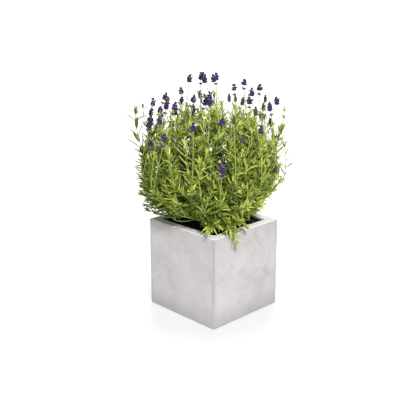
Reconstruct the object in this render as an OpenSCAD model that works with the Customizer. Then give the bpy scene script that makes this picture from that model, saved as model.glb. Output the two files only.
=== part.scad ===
// Square concrete planter box with a lift-out liner, planted with a flowering lavender.
// Millimetres, +Z up, origin at the middle of the footprint on the ground.

/* [Concrete box] */
// Outer width and depth of the box
box_side = 200; // [190:1:210]
// Height from the ground to the rim, foot pads included
box_height = 200; // [195:1:205]
// Wall thickness at the rim
rim_wall = 20; // [18:0.5:22]
// How much thicker each wall gets towards the floor, the draft of the casting mould
wall_draft = 3; // [1:0.5:4]
// Thickness of the concrete floor
floor_thickness = 20; // [16:1:22]
// Radius of the four upright outside edges
edge_radius = 2.5; // [1:0.5:5]
// Chamfer along the rim and the bottom edge
rim_chamfer = 1; // [0.5:0.25:2]
// Diameter of the drain hole in the floor
drain_d = 22; // [16:1:26]

/* [Foot pads] */
// Diameter of each rubber foot pad
foot_d = 24; // [18:1:30]
// Thickness of each foot pad
foot_thickness = 3; // [2.5:0.25:4]
// How far each foot pad stands out below the concrete
foot_proud = 1.5; // [1:0.25:2]
// Distance from the box's side to the middle of a foot pad
foot_inset = 28; // [24:1:36]

/* [Liner] */
// Gap between the liner and the concrete wall
liner_gap = 1.5; // [1:0.25:2.5]
// Wall thickness of the plastic liner
liner_wall = 1.5; // [1.2:0.1:2]
// How far the liner's rolled rim sits below the box's rim
liner_drop = 3.5; // [3:0.5:5]
// Height of the runners under the liner
runner_height = 5; // [4:0.5:8]
// Diameter of each drain hole in the liner
liner_drain_d = 9; // [6:0.5:10]

/* [Filling] */
// How far the soil sits below the box's rim
soil_drop = 7; // [6.5:0.5:9]
// Typical diameter of a clay pebble
pebble_d = 16; // [14:0.5:17]
// Thickness of the fleece between pebbles and soil
fleece_thickness = 1.5; // [1:0.25:2]
// Diameter of the root ball at its top
root_ball_d = 112; // [100:2:120]
// Height of the root ball
root_ball_h = 96; // [80:2:100]

/* [Lavender] */
// Number of main leafy shoots
shoots_n = 50; // [44:1:52]
// Radius of the woody crown that the shoots grow from
crown_r = 34; // [32:1:38]
// Length of the tallest leafy shoot
shoot_length = 240; // [220:5:250]
// Angle between the lowest shoots and the vertical
spread = 75; // [66:1:76]
// Thickest radius of one leafy shoot's stand-in
shoot_r = 9; // [6:0.5:9]
// Height of the tallest flower heads above the ground
flower_top = 507; // [495:2:515]
// Radius of a flower stalk
stalk_r = 1.1; // [0.8:0.1:1.4]
// Radius of a flower head
head_r = 6.5; // [5:0.5:7]

/* [Hidden] */

$fn = 48;
eps = 0.01;

concrete_col = [0.78, 0.77, 0.77];
pad_col = [0.16, 0.16, 0.17];
liner_col = [0.10, 0.10, 0.11];
pebble_col = [0.56, 0.33, 0.22];
fleece_col = [0.85, 0.85, 0.82];
soil_col = [0.13, 0.09, 0.07];
root_col = [0.45, 0.34, 0.24];
bark_col = [0.42, 0.34, 0.25];
leaf_col = [0.48, 0.60, 0.26];
stalk_col = [0.50, 0.60, 0.30];
flower_col = [0.27, 0.19, 0.42];

// Heights inside the box, from the ground up
floor_z = foot_proud + floor_thickness;
mouth_w = box_side - 2 * rim_wall;
cavity_low_w = mouth_w - 2 * wall_draft;
cavity_h = box_height - floor_z;
runner_gap = 0.2;
liner_z = floor_z + runner_gap + runner_height;
liner_top_z = box_height - liner_drop;
liner_plate = 2;
inside_z = liner_z + liner_plate;
pebble_top_z = inside_z + 1.75 * pebble_d + 1.4;
soil_low_z = pebble_top_z + fleece_thickness;
soil_z = box_height - soil_drop;
rim_bead_h = 3;
rim_bead_t = 1.1;
foot_xy = box_side / 2 - foot_inset;
lift_fit = 0.25;

// Width of the cavity, and of the liner's outer skin, at a height
function cavity_w(z) = cavity_low_w + (mouth_w - cavity_low_w) * (z - floor_z) / cavity_h;
function skin_w(z) = cavity_w(z) - 2 * (liner_gap + rim_bead_t);
function inner_w(z) = skin_w(z) - 2 * liner_wall;

// A square block with four rounded upright edges
module rounded_block(w, r, h) {
    linear_extrude(height = h) {
        square([w - 2 * r, w], center = true);
        square([w, w - 2 * r], center = true);
        for (x = [-1, 1], y = [-1, 1])
            translate([x * (w / 2 - r), y * (w / 2 - r)]) circle(r = r);
    }
}

// A profile that is w_low wide at z_low and w_high wide at z_high, drawn out along Y
module drafted_slab(w_low, w_high, z_low, z_high, long) {
    rotate([90, 0, 0]) linear_extrude(height = long, center = true)
        polygon([[-w_low / 2, z_low], [w_low / 2, z_low], [w_high / 2, z_high], [-w_high / 2, z_high]]);
}

// A square block whose sides lean out evenly, with its upright edges cut back
module drafted_block(w_low, w_high, z_low, z_high, cut) {
    k = sqrt(2);
    long = 3 * w_high;
    intersection() {
        drafted_slab(w_low, w_high, z_low, z_high, long);
        rotate([0, 0, 90]) drafted_slab(w_low, w_high, z_low, z_high, long);
        rotate([0, 0, 45]) drafted_slab(w_low * k - 2 * cut, w_high * k - 2 * cut, z_low, z_high, long);
        rotate([0, 0, 135]) drafted_slab(w_low * k - 2 * cut, w_high * k - 2 * cut, z_low, z_high, long);
    }
}

// Four bars that cut a chamfer of size c along a square edge of width w at height z
module edge_bars(w, z, c, long) {
    for (a = [0, 90, 180, 270])
        rotate([0, 0, a]) translate([0, w / 2, z])
            rotate([45, 0, 0]) cube([long, c * sqrt(2), c * sqrt(2)], center = true);
}

module concrete_box() {
    color(concrete_col) difference() {
        translate([0, 0, foot_proud]) rounded_block(box_side, edge_radius, box_height - foot_proud);
        drafted_block(cavity_low_w, mouth_w + 2 * (mouth_w - cavity_low_w) / cavity_h, floor_z, box_height + 2, 4);
        translate([0, 0, foot_proud - 1]) cylinder(d = drain_d, h = floor_thickness + 2);
        for (x = [-1, 1], y = [-1, 1])
            translate([x * foot_xy, y * foot_xy, foot_proud - 1])
                cylinder(d = foot_d + 2 * lift_fit, h = foot_thickness - foot_proud + 1);
        edge_bars(box_side, box_height, rim_chamfer, box_side * 1.2);
        edge_bars(box_side, foot_proud, rim_chamfer, box_side * 1.2);
        edge_bars(mouth_w, box_height, rim_chamfer, mouth_w - 6);
    }
}

// A round rubber pad glued into its pocket under the box
module foot_pad(x, y) {
    color(pad_col) translate([x * foot_xy, y * foot_xy, 0]) rotate_extrude()
        polygon([[0, 0], [foot_d / 2 - 0.75, 0], [foot_d / 2, 0.75], [foot_d / 2, foot_thickness], [0, foot_thickness]]);
}
module foot_front_left() { foot_pad(-1, -1); }
module foot_front_right() { foot_pad(1, -1); }
module foot_rear_left() { foot_pad(-1, 1); }
module foot_rear_right() { foot_pad(1, 1); }

// Thin-walled plastic pot with a bead round its rim, runners underneath and drain holes
module liner() {
    color(liner_col) difference() {
        union() {
            drafted_block(skin_w(liner_z), skin_w(liner_top_z), liner_z, liner_top_z, 8);
            drafted_block(skin_w(liner_top_z - rim_bead_h) + 2 * rim_bead_t, skin_w(liner_top_z) + 2 * rim_bead_t,
                liner_top_z - rim_bead_h, liner_top_z, 8);
            for (x = [-1, 1]) translate([x * 44, 0, liner_z - runner_height / 2 + 0.5])
                cube([8, 120, runner_height + 1], center = true);
        }
        drafted_block(inner_w(inside_z), inner_w(liner_top_z + 1), inside_z, liner_top_z + 1, 7.4);
        for (x = [-1, 0, 1], y = [-1, 0, 1])
            translate([x * 26, y * 44, liner_z - 1]) cylinder(d = liner_drain_d, h = liner_plate + 2);
    }
}

// A bed of burnt clay balls: separate balls in two staggered layers, with none in the cut-back corners
module pebble_layer(n, pitch, z) {
    for (i = [0 : n - 1], j = [0 : n - 1]) if (abs(2 * i - n + 1) + abs(2 * j - n + 1) < 2 * n - 2)
        translate([(i - (n - 1) / 2) * pitch, (j - (n - 1) / 2) * pitch, z + pebble_d / 2 + 0.05 + 1.2 * wave(i * 5 + j)])
            sphere(d = pebble_d - 0.9 - 1.4 * wave(i * 7 + j * 3 + 2));
}
module clay_pebbles() {
    across = inner_w(inside_z) - 2;
    per_side = floor(across / pebble_d);
    pitch = across / per_side;
    color(pebble_col) {
        pebble_layer(per_side, pitch, inside_z);
        pebble_layer(per_side - 1, pitch, inside_z + 0.75 * pebble_d);
    }
}

module filter_fleece() {
    w = inner_w(pebble_top_z) - 0.4;
    color(fleece_col) difference() {
        drafted_block(w, w, pebble_top_z, soil_low_z, 7.4);
        // small nick where the sheet is folded round a corner
        translate([w / 2 - 6, w / 2 - 6, pebble_top_z - 1]) cylinder(d = 3, h = 5);
    }
}

module root_ball_shape(clear) {
    translate([0, 0, soil_z - root_ball_h - clear])
        cylinder(r1 = root_ball_d / 2 - 11 + clear, r2 = root_ball_d / 2 + clear, h = root_ball_h + clear - 3);
}

module potting_soil() {
    color(soil_col) difference() {
        drafted_block(inner_w(soil_low_z) - 0.1, inner_w(soil_z) - 0.1, soil_low_z, soil_z, 7.4);
        root_ball_shape(0);
        translate([0, 0, soil_z - 4]) cylinder(r = root_ball_d / 2 - 6, h = 6);
    }
}

module root_ball() {
    color(root_col) difference() {
        root_ball_shape(0);
        translate([0, 0, soil_z - crown_sink - 0.1]) cylinder(r = crown_neck_r, h = crown_sink + 1);
    }
}

// The woody base: a neck in the root ball and a low knobbly dome
crown_sink = 22;
crown_neck_r = 16;
crown_top = 10;
module woody_crown() {
    color(bark_col) translate([0, 0, soil_z]) rotate_extrude()
        polygon([[0, -crown_sink], [crown_neck_r - 4, -crown_sink], [crown_neck_r - 0.2, -crown_sink + 5],
            [crown_neck_r - 0.2, -3], [crown_r + 2, -3], [crown_r + 5, 0], [crown_r + 3, 3],
            [crown_r - 10, crown_top - 1.5], [12, crown_top], [0, crown_top]]);
}

// Steady pseudo-random spread between 0 and 1
function frac(x) = x - floor(x);
function wave(i) = frac(i * 0.7549 + 0.78);
function wave2(i) = frac(i * 0.5698 + 0.46);

// Shoots are laid out on a golden-angle spiral, upright in the middle and low at the edge
function share(i) = (i + 0.5) / shoots_n;
function turn(i) = 137.508 * i + 102 + 9 * (wave(i) - 0.5);
function tilt(i) = acos(1 - share(i) * (1 - cos(spread))) + 6 * (wave2(i) - 0.5);
function reach(i) = shoot_length * (1 - 0.265 * pow(max(tilt(i), 0) / 47, 1.35)) * (0.93 + 0.14 * wave(i + 40));
function root_r(i) = (crown_r - 1) * sqrt(share(i));
function root_at(i) = [root_r(i) * cos(turn(i)), root_r(i) * sin(turn(i)), soil_z + crown_top - 2 - 4 * share(i)];
lean = [-12, -12, 0];
tip_r = 2.8;
function tip_at(i) = root_at(i) + reach(i) * [sin(tilt(i)) * cos(turn(i)), sin(tilt(i)) * sin(turn(i)), cos(tilt(i))]
    + lean * reach(i) * cos(tilt(i)) / shoot_length;

// Puts a shape drawn along +Z from the origin on the line from a to b
module along(a, b) {
    d = b - a;
    translate(a) rotate([0, acos(d[2] / norm(d)), atan2(d[1], d[0])]) children();
}

// One leafy shoot's envelope: thin at its foot, full above the middle, pointed at its tip
module shoot(i) {
    len = norm(tip_at(i) - root_at(i));
    along(root_at(i), tip_at(i)) rotate_extrude()
        polygon([[0, 0], [1.8, 0], [shoot_r * 0.7, len * 0.4], [shoot_r, len * 0.66],
            [shoot_r * 0.8, len * 0.86], [tip_r, len], [0, len]]);
}

inner_share = 0.16;
function sector(i) = share(i) < inner_share ? -1 : floor(frac((turn(i) + 22.5) / 360) * 8);
module shoots(s) {
    color(leaf_col) for (i = [0 : shoots_n - 1]) if (sector(i) == s) shoot(i);
}
module shoots_centre() { shoots(-1); }
module shoots_right() { shoots(0); }
module shoots_rear_right() { shoots(1); }
module shoots_rear() { shoots(2); }
module shoots_rear_left() { shoots(3); }
module shoots_left() { shoots(4); }
module shoots_front_left() { shoots(5); }
module shoots_front() { shoots(6); }
module shoots_front_right() { shoots(7); }

// Flower stalks rise steeply from the shoot tips; inner shoots carry two, the lowest carry few
function flat(v) = [v[0], v[1], 0];
function side_way(i) = [cos(turn(i) + 60 + 60 * wave(i + 9)), sin(turn(i) + 60 + 60 * wave(i + 9)), 0];
function side_step(i, k) = 20 * side_way(i) * k;
function high_head(i, k) = 0.88 * flat(tip_at(i)) + side_step(i, k)
    + [0, 0, max(flower_top - 0.0023 * pow(norm(flat(tip_at(i))), 2) - 39 * wave2(i + 7 * k) - 39 * k,
        tip_at(i)[2] + 34 + 12 * wave(i + k))];
function low_head(i) = tip_at(i) + [0.12 * tip_at(i)[0], 0.12 * tip_at(i)[1], 42 + 20 * wave(i)];
// Each entry is where a stalk starts and where it meets its flower head; two on one shoot start side by side
heads = [for (i = [0 : shoots_n - 1]) if (share(i) < 0.65) for (k = [0, 1]) if (k == 0 || i % 2 == 0)
        [tip_at(i) + side_way(i) * (i % 2 == 0 ? 1.5 * (2 * k - 1) : 0), high_head(i, k)],
    for (i = [0 : shoots_n - 1]) if (share(i) >= 0.65 && share(i) < 0.9 && i % 3 == 0) [tip_at(i), low_head(i)]];

module flower_stalks() {
    color(stalk_col) for (h = heads)
        along(h[0], h[1]) cylinder(r = stalk_r, h = norm(h[1] - h[0]));
}

// Spike of flowers: a rounded spindle that carries on along its stalk
module flower_heads() {
    color(flower_col) for (j = [0 : len(heads) - 1]) {
        a = heads[j][0];
        b = heads[j][1];
        long = 20 + 12 * wave2(j);
        along(b, b + (b - a) / norm(b - a)) rotate_extrude()
            polygon([[0, 0], [2.2, 0], [head_r, long * 0.3], [head_r * 0.9, long * 0.7], [1.5, long], [0, long]]);
    }
}

concrete_box();
foot_front_left();
foot_front_right();
foot_rear_left();
foot_rear_right();
liner();
clay_pebbles();
filter_fleece();
potting_soil();
root_ball();
woody_crown();
shoots_centre();
shoots_right();
shoots_rear_right();
shoots_rear();
shoots_rear_left();
shoots_left();
shoots_front_left();
shoots_front();
shoots_front_right();
flower_stalks();
flower_heads();
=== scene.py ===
import math

import bmesh
import bpy
import numpy as np
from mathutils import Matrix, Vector, noise


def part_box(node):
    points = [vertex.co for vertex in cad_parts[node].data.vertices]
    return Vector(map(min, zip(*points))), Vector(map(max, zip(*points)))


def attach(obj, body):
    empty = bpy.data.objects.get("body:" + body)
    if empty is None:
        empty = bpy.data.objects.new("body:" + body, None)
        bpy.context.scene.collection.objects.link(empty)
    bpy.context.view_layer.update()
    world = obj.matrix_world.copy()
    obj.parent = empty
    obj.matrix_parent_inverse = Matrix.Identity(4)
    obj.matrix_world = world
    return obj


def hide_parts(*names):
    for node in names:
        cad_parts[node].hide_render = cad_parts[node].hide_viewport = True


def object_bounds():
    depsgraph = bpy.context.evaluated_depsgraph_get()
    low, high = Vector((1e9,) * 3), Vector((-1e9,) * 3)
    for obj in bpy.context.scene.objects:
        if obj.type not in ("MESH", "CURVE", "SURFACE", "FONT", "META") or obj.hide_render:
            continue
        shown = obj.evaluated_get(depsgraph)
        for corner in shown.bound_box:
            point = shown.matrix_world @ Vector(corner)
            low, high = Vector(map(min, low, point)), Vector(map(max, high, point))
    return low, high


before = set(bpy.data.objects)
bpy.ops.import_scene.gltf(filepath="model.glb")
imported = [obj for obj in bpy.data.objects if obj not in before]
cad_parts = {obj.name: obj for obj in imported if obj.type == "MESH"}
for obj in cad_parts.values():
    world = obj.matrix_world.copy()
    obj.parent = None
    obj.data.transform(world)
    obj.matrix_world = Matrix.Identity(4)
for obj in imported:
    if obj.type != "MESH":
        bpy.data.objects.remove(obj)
cad_lo, cad_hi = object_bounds()
MM = 0.001


# ---------------------------------------------------------------- small helpers
def frac(x):
    return x - math.floor(x)


def smooth(a, b, x):
    t = np.clip((x - a) / (b - a), 0, 1)
    return t * t * (3 - 2 * t)


def unit(v):
    v = np.asarray(v, float)
    return v / max(np.linalg.norm(v), 1e-12)


def sides(d):
    """Two unit vectors square to d."""
    d = unit(d)
    u = np.cross(d, [0, 0, 1.0]) if abs(d[2]) < 0.95 else np.cross(d, [1.0, 0, 0])
    u = unit(u)
    return u, np.cross(d, u)


def rot(v, axis, angle):
    """v turned about axis by angle, in radians."""
    k = unit(axis)
    v = np.asarray(v, float)
    return v * math.cos(angle) + np.cross(k, v) * math.sin(angle) + k * np.dot(k, v) * (1 - math.cos(angle))


class Build:
    """Collects parts of one mesh in millimetres, with four numbers per vertex for the material."""

    def __init__(self):
        self.v, self.q, self.t, self.a, self.n = [], [], [], [], 0

    def add(self, verts, quads=(), tris=(), attr=None):
        verts = np.asarray(verts, float)
        k = len(verts)
        self.v.append(verts)
        if len(quads):
            self.q.append(np.asarray(quads, int) + self.n)
        if len(tris):
            self.t.append(np.asarray(tris, int) + self.n)
        self.a.append(np.zeros((k, 4)) if attr is None else np.broadcast_to(np.asarray(attr, float), (k, 4)))
        self.n += k

    def make(self, name, mat, smooth_shade=True):
        v = np.concatenate(self.v) * MM
        q = np.concatenate(self.q) if self.q else np.zeros((0, 4), int)
        t = np.concatenate(self.t) if self.t else np.zeros((0, 3), int)
        me = bpy.data.meshes.new(name)
        me.vertices.add(len(v))
        me.vertices.foreach_set("co", v.ravel())
        loops = np.concatenate([q.ravel(), t.ravel()])
        me.loops.add(len(loops))
        me.loops.foreach_set("vertex_index", loops)
        start = np.concatenate([np.arange(len(q)) * 4, len(q) * 4 + np.arange(len(t)) * 3])
        me.polygons.add(len(start))
        me.polygons.foreach_set("loop_start", start)
        me.update(calc_edges=True)
        me.polygons.foreach_set("use_smooth", np.full(len(start), bool(smooth_shade)))
        life = np.concatenate(self.a).astype(float)
        at = me.attributes.new("life", "FLOAT_VECTOR", "POINT")
        at.data.foreach_set("vector", np.ascontiguousarray(life[:, :3]).ravel())
        at = me.attributes.new("across", "FLOAT", "POINT")
        at.data.foreach_set("value", np.ascontiguousarray(life[:, 3]))
        me.validate()
        me.update()
        ob = bpy.data.objects.new(name, me)
        bpy.context.scene.collection.objects.link(ob)
        me.materials.append(mat)
        return ob


def tube(b, pts, radii, n=6, attr=(0, 0, 0, 0), attrs=None, tip=True):
    """A closed tube along pts, turned as little as possible from ring to ring."""
    pts = np.asarray(pts, float)
    m = len(pts)
    d = np.gradient(pts, axis=0)
    d /= np.linalg.norm(d, axis=1)[:, None]
    u, w = sides(d[0])
    rings, at = [], []
    for i in range(m):
        u = unit(u - np.dot(u, d[i]) * d[i])
        w = np.cross(d[i], u)
        a = np.arange(n) * 2 * math.pi / n
        rings.append(pts[i] + radii[i] * (np.cos(a)[:, None] * u + np.sin(a)[:, None] * w))
        at.append(np.broadcast_to(attr if attrs is None else attrs[i], (n, 4)))
    verts = np.concatenate(rings + [pts[:1] - d[0] * radii[0] * 0.4, pts[-1:] + d[-1] * radii[-1] * 0.6])
    at = np.concatenate(at + [at[0][:1], at[-1][:1]])
    quads = [[i * n + j, i * n + (j + 1) % n, (i + 1) * n + (j + 1) % n, (i + 1) * n + j] for i in range(m - 1) for j in range(n)]
    lo, hi = m * n, m * n + 1
    tris = [[lo, (j + 1) % n, j] for j in range(n)] + [[hi, (m - 1) * n + j, (m - 1) * n + (j + 1) % n] for j in range(n)]
    b.add(verts, quads, tris, at)


def bezier(p0, p1, p2, p3, n):
    t = np.linspace(0, 1, n)[:, None]
    return (1 - t) ** 3 * p0 + 3 * (1 - t) ** 2 * t * p1 + 3 * (1 - t) * t * t * p2 + t ** 3 * p3


# ---------------------------------------------------------------- materials
def material(name, rough=0.6, spec=0.35):
    m = bpy.data.materials.new(name)
    m.use_nodes = True
    nt = m.node_tree
    p = nt.nodes["Principled BSDF"]
    p.inputs["Roughness"].default_value = rough
    p.inputs["Specular IOR Level"].default_value = spec
    return m, nt, p


class Nodes:
    def __init__(self, nt):
        self.nt = nt

    def new(self, kind, **kw):
        n = self.nt.nodes.new(kind)
        for k, v in kw.items():
            setattr(n, k, v)
        return n

    def link(self, a, b):
        self.nt.links.new(a, b)

    def coords(self):
        return self.new("ShaderNodeTexCoord").outputs["Object"]

    def mapping(self, src, scale=(1, 1, 1), loc=(0, 0, 0), turn=(0, 0, 0)):
        m = self.new("ShaderNodeMapping")
        m.inputs["Scale"].default_value = scale
        m.inputs["Location"].default_value = loc
        m.inputs["Rotation"].default_value = turn
        self.link(src, m.inputs["Vector"])
        return m.outputs["Vector"]

    def noise(self, src, scale, detail=4, rough=0.55, dist=0.0):
        n = self.new("ShaderNodeTexNoise")
        n.inputs["Scale"].default_value = scale
        n.inputs["Detail"].default_value = detail
        n.inputs["Roughness"].default_value = rough
        n.inputs["Distortion"].default_value = dist
        self.link(src, n.inputs["Vector"])
        return n.outputs["Fac"]

    def voronoi(self, src, scale, feature="F1", rand=1.0):
        n = self.new("ShaderNodeTexVoronoi", feature=feature)
        n.inputs["Scale"].default_value = scale
        n.inputs["Randomness"].default_value = rand
        self.link(src, n.inputs["Vector"])
        return n.outputs["Distance"]

    def ramp(self, src, stops, interp="LINEAR"):
        n = self.new("ShaderNodeValToRGB")
        n.color_ramp.interpolation = interp
        e = n.color_ramp.elements
        while len(e) < len(stops):
            e.new(0.5)
        for i, (pos, col) in enumerate(stops):
            e[i].position = pos
            c = col if isinstance(col, (tuple, list)) else (col, col, col)
            e[i].color = (*c[:3], 1)
        self.link(src, n.inputs["Fac"])
        return n.outputs["Color"]

    def mix(self, fac, a, b, mode="MIX"):
        n = self.new("ShaderNodeMix", data_type="RGBA", blend_type=mode)
        f, A, B = n.inputs[0], n.inputs[6], n.inputs[7]
        for sock, val in ((f, fac), (A, a), (B, b)):
            if isinstance(val, bpy.types.NodeSocket):
                self.link(val, sock)
            elif sock is f:
                sock.default_value = val
            else:
                sock.default_value = (*val[:3], 1)
        return n.outputs[2]

    def math(self, op, a, b=None, clamp=False):
        n = self.new("ShaderNodeMath", operation=op, use_clamp=clamp)
        for sock, val in ((n.inputs[0], a), (n.inputs[1], b)):
            if val is None:
                continue
            if isinstance(val, bpy.types.NodeSocket):
                self.link(val, sock)
            else:
                sock.default_value = val
        return n.outputs[0]

    def bump(self, height, strength, distance, normal=None):
        n = self.new("ShaderNodeBump")
        n.inputs["Strength"].default_value = strength
        n.inputs["Distance"].default_value = distance
        self.link(height, n.inputs["Height"])
        if normal is not None:
            self.link(normal, n.inputs["Normal"])
        return n.outputs["Normal"]

    def life(self):
        n = self.new("ShaderNodeAttribute", attribute_name="life")
        s = self.new("ShaderNodeSeparateXYZ")
        self.link(n.outputs["Vector"], s.inputs[0])
        e = self.new("ShaderNodeAttribute", attribute_name="across")
        return s.outputs["X"], s.outputs["Y"], s.outputs["Z"], e.outputs["Fac"]


def concrete_material():
    m, nt, p = material("cast_concrete", 0.72, 0.2)
    n = Nodes(nt)
    c = n.coords()
    cloud = n.noise(n.mapping(c, (9, 9, 11)), 1.0, 6, 0.6, 0.6)
    patch = n.noise(n.mapping(c, (26, 26, 30), (3, 1, 7)), 1.0, 7, 0.62, 1.2)
    fine = n.noise(c, 420, 5, 0.7)
    streak = n.noise(n.mapping(c, (14, 14, 150), (2, 0, 0), (0.16, 0.10, 0)), 1.0, 4, 0.6, 0.3)
    col = n.ramp(cloud, [(0.30, (0.388, 0.372, 0.376)), (0.50, (0.446, 0.429, 0.433)), (0.72, (0.502, 0.484, 0.488))])
    col = n.mix(n.math("MULTIPLY", n.ramp(patch, [(0.42, 0), (0.62, 1)]), 0.45), col, (0.525, 0.507, 0.511))
    col = n.mix(n.math("MULTIPLY", n.ramp(patch, [(0.30, 1), (0.44, 0)]), 0.42), col, (0.322, 0.309, 0.314))
    col = n.mix(n.math("MULTIPLY", n.ramp(streak, [(0.52, 0), (0.70, 1)]), 0.30), col, (0.44, 0.425, 0.42))
    col = n.mix(n.math("MULTIPLY", n.ramp(fine, [(0.35, 1), (0.55, 0)]), 0.16), col, (0.40, 0.39, 0.385))
    # painted shade: darker towards the foot, and darker again towards the top of the walls up to the rim
    sep = n.new("ShaderNodeSeparateXYZ")
    n.link(c, sep.inputs[0])
    wob = n.math("MULTIPLY", n.math("SUBTRACT", n.noise(c, 24, 4), 0.5), 0.05)
    z = n.math("ADD", sep.outputs["Z"], wob)
    foot = n.ramp(n.math("MULTIPLY", z, 5.0), [(0.0, 1), (0.24, 0)])
    col = n.mix(n.math("MULTIPLY", foot, 0.70), col, (0.310, 0.300, 0.305))
    upper_wall_shade = n.ramp(n.math("MULTIPLY", z, 5.0), [(0.72, 0), (0.97, 1)])
    col = n.mix(n.math("MULTIPLY", upper_wall_shade, 0.34), col, (0.315, 0.303, 0.308))
    ax_, ay_ = n.math("ABSOLUTE", sep.outputs["X"]), n.math("ABSOLUTE", sep.outputs["Y"])
    near = n.math("MINIMUM", ax_, ay_)
    # painted shade: the rounded upright corners darker
    arris_shade = n.ramp(n.math("ADD", n.math("MULTIPLY", near, 10.0), n.math("MULTIPLY", wob, 1.2)), [(0.905, 0), (0.975, 1)])
    col = n.mix(n.math("MULTIPLY", arris_shade, 0.50), col, (0.345, 0.335, 0.345))
    # painted shade: a thin dark line down the upright edges, fainter towards the foot
    edge_shade_line = n.ramp(n.math("ADD", n.math("MULTIPLY", near, 10.0), n.math("MULTIPLY", wob, 0.16)), [(0.966, 0), (0.984, 1)])
    edge_shade_line = n.math("MULTIPLY", edge_shade_line, n.ramp(n.math("MULTIPLY", z, 5.0), [(0.10, 0.25), (0.36, 0.60), (1.0, 0.82)]))
    col = n.mix(edge_shade_line, col, (0.245, 0.235, 0.245))
    geo = n.new("ShaderNodeNewGeometry")
    face = n.new("ShaderNodeSeparateXYZ")
    n.link(geo.outputs["Normal"], face.inputs[0])
    # painted light: the rim's top face lighter, in place of the light the foliage above keeps off it
    rim_top_light = n.math("MULTIPLY", n.ramp(face.outputs["Z"], [(0.35, 0), (0.85, 1)]), n.math("GREATER_THAN", sep.outputs["Z"], 0.19))
    col = n.mix(n.math("MULTIPLY", rim_top_light, 0.84), col, (0.800, 0.785, 0.785))
    # painted shade: darker inside the cavity, up to just below the rim
    inside = n.math("MULTIPLY", n.math("LESS_THAN", n.math("ABSOLUTE", sep.outputs["X"]), 0.0802),
                    n.math("LESS_THAN", n.math("ABSOLUTE", sep.outputs["Y"]), 0.0802))
    deep = n.math("MULTIPLY", inside, n.ramp(n.math("MULTIPLY", z, 5.0), [(0.94, 1), (0.985, 0)]))
    col = n.mix(n.math("MULTIPLY", deep, 0.6), col, (0.23, 0.215, 0.205))
    # edges rubbed paler, and pinholes left by air bubbles
    edge = n.ramp(geo.outputs["Pointiness"], [(0.515, 0), (0.56, 1)])
    col = n.mix(n.math("MULTIPLY", edge, 0.10), col, (0.60, 0.585, 0.59))
    vec = n.mapping(c, (1, 1, 1), (0.37, 0.11, 0.05))
    pin = n.voronoi(vec, 95)
    gate = n.ramp(n.noise(vec, 16, 2), [(0.52, 0), (0.58, 1)])
    hole = n.math("MULTIPLY", n.ramp(pin, [(0.05, 1), (0.11, 0)]), gate)
    pin2 = n.voronoi(n.mapping(c, (1, 1, 1), (1.3, 2.2, 0.7)), 42)
    gate2 = n.ramp(n.noise(vec, 9, 2), [(0.58, 0), (0.62, 1)])
    hole2 = n.math("MULTIPLY", n.ramp(pin2, [(0.035, 1), (0.065, 0)]), gate2)
    holes = n.math("MAXIMUM", hole, hole2)
    col = n.mix(n.math("MULTIPLY", holes, 0.75), col, (0.17, 0.16, 0.16))
    n.link(col, p.inputs["Base Color"])
    n.link(n.ramp(patch, [(0.3, 0.62), (0.7, 0.80)]), p.inputs["Roughness"])
    h = n.math("ADD", n.math("MULTIPLY", fine, 0.25), n.math("MULTIPLY", patch, 0.5))
    nb = n.bump(h, 0.35, 0.0006)
    nb = n.bump(n.math("SUBTRACT", 1.0, holes), 0.8, 0.0008, nb)
    n.link(nb, p.inputs["Normal"])
    return m


def leaf_material():
    m, nt, p = material("lavender_leaf", 0.50, 0.20)
    n = Nodes(nt)
    along, rnd, age_and_light, kind = n.life()
    # age_and_light 0 is an old leaf low on the shoot in painted shade, 1 is young growth at the tip in painted light:
    # the dark, mid and bright greens are shaded and lit tones as well as age
    old = n.mix(rnd, (0.011, 0.023, 0.001), (0.045, 0.070, 0.006))
    mid = n.mix(rnd, (0.098, 0.170, 0.003), (0.240, 0.325, 0.018))
    new = n.mix(rnd, (0.560, 0.720, 0.060), (0.900, 0.940, 0.290))
    col = n.mix(n.ramp(age_and_light, [(0.05, 0), (0.5, 1)]), old, mid)
    col = n.mix(n.ramp(age_and_light, [(0.45, 0), (1.0, 1)]), col, new)
    # greyish bloom on some leaves, yellower towards the leaf's foot, dry tip
    grey = n.ramp(rnd, [(0.70, 0), (0.92, 1)])
    col = n.mix(n.math("MULTIPLY", grey, 0.22), col, (0.260, 0.310, 0.120))
    col = n.mix(n.ramp(along, [(0.0, 0.30), (0.22, 0.0)]), col, (0.30, 0.38, 0.05))
    dry = n.math("MULTIPLY", n.ramp(along, [(0.90, 0), (1.0, 1)]), n.ramp(rnd, [(0.5, 0), (0.6, 0.6)]))
    col = n.mix(dry, col, (0.30, 0.24, 0.08))
    c = n.coords()
    mott = n.noise(c, 260, 3, 0.6)
    col = n.mix(n.math("MULTIPLY", n.ramp(mott, [(0.35, 1), (0.6, 0)]), 0.25), col, (0.10, 0.17, 0.03))
    # midrib: kind holds how far across the blade a point is, 0 on the rib and 1 at the edge
    rib = n.ramp(kind, [(0.0, 0.28), (0.18, 0.0)])
    col = n.mix(rib, col, (0.48, 0.58, 0.14))
    n.link(col, p.inputs["Base Color"])
    p.inputs["Sheen Weight"].default_value = 0.04
    p.inputs["Sheen Roughness"].default_value = 0.5
    n.link(n.bump(n.noise(c, 1500, 3, 0.6), 0.12, 0.0002), p.inputs["Normal"])
    # light through the thin blade
    tr = n.new("ShaderNodeBsdfTranslucent")
    n.link(n.mix(0.4, col, (0.52, 0.62, 0.06)), tr.inputs["Color"])
    ms = n.new("ShaderNodeMixShader")
    ms.inputs[0].default_value = 0.20
    n.link(p.outputs[0], ms.inputs[1])
    n.link(tr.outputs[0], ms.inputs[2])
    n.link(ms.outputs[0], nt.nodes["Material Output"].inputs["Surface"])
    return m


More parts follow.
